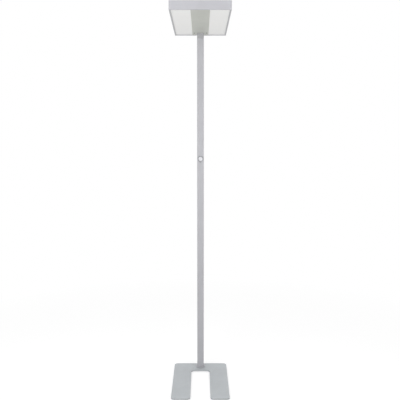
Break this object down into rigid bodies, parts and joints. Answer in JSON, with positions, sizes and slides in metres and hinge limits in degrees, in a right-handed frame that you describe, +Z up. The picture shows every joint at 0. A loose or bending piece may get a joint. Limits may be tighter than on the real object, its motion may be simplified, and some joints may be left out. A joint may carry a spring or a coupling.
{
  "type": "office floor lamp",
  "caption": "Free-standing office floor lamp: flat direct and indirect LED head on a slim square post, U-shaped base plate and a push button.",
  "frame": {"origin": "on the floor under the middle of the head", "axes": "+Z up along the post, -Y towards the front where the head reaches out and the base is open, +X across"},
  "size_m": [0.31, 0.61, 1.993],
  "materials": {
    "base_paint": "fine-textured silver-grey powder coat on steel",
    "black_rubber": "matt black rubber",
    "flange_grey": "satin grey paint",
    "block_aluminium": "satin silver-grey",
    "zinc_steel": "zinc-plated steel",
    "dark_screw": "dark plated steel",
    "post_silver": "satin silver-grey coat on extruded aluminium",
    "rail_silver": "satin silver-grey coat on extruded aluminium",
    "dark_plastic": "matt dark moulded plastic",
    "indicator": "smoked lens",
    "lead_white": "white cable sheath",
    "lead_red": "red wire sheath",
    "lead_grey": "grey cable sheath",
    "bezel_grey": "satin turned ring",
    "button_gloss": "glossy light button",
    "board_green": "solder mask",
    "chassis_aluminium": "mill finish sheet",
    "panel_paint": "satin silver-grey coat on folded sheet",
    "opal": "opal acrylic with a fine matt texture",
    "top_window": "frosted acrylic",
    "white_sheet": "matt white paint",
    "led_board": "white solder mask with yellow LEDs",
    "white_plastic": "white moulded plastic"
  },
  "bodies": {
    "lamp": {"base_plate": "base_paint", "base_glides": "black_rubber", "lead_grommets": "black_rubber", "foot_flange": "flange_grey", "foot_block": "block_aluminium", "neck_block": "block_aluminium", "foot_screws": "zinc_steel", "post_screws": "zinc_steel", "bracket_screws": "zinc_steel", "chassis_screws": "zinc_steel", "cover_screws": "zinc_steel", "driver_screws": "zinc_steel", "head_bracket": "zinc_steel", "corner_brackets": "zinc_steel", "button_spring": "zinc_steel", "panel_screws": "dark_screw", "post_profile": "post_silver", "front_rail": "rail_silver", "rear_rail": "rail_silver", "left_rail": "rail_silver", "right_rail": "rail_silver", "cable_gland": "dark_plastic", "gland_nut": "dark_plastic", "control_housing": "dark_plastic", "indicator_lens": "indicator", "mains_lead": "lead_white", "driver_lead": "lead_white", "downlight_leads": "lead_red", "uplight_leads": "lead_red", "control_lead": "lead_grey", "control_bezel": "bezel_grey", "switch_board": "board_green", "chassis_plate": "chassis_aluminium", "centre_panel": "panel_paint", "top_cover": "panel_paint", "left_diffuser": "opal", "right_diffuser": "opal", "left_top_window": "top_window", "right_top_window": "top_window", "left_reflector": "white_sheet", "right_reflector": "white_sheet", "left_downlight_board": "led_board", "right_downlight_board": "led_board", "left_uplight_board": "led_board", "right_uplight_board": "led_board", "led_driver": "white_plastic", "terminal_block": "white_plastic"},
    "button": {"push_button": "button_gloss"}
  },
  "joints": [
    {"name": "button_press", "type": "slide", "parent": "lamp", "child": "button", "axis": [0, 1, 0], "range_m": [0, 0.0015], "stiffness_N_per_m": 1000, "springref_m": -0.0005, "deforming": ["button_spring"]}
  ]
}
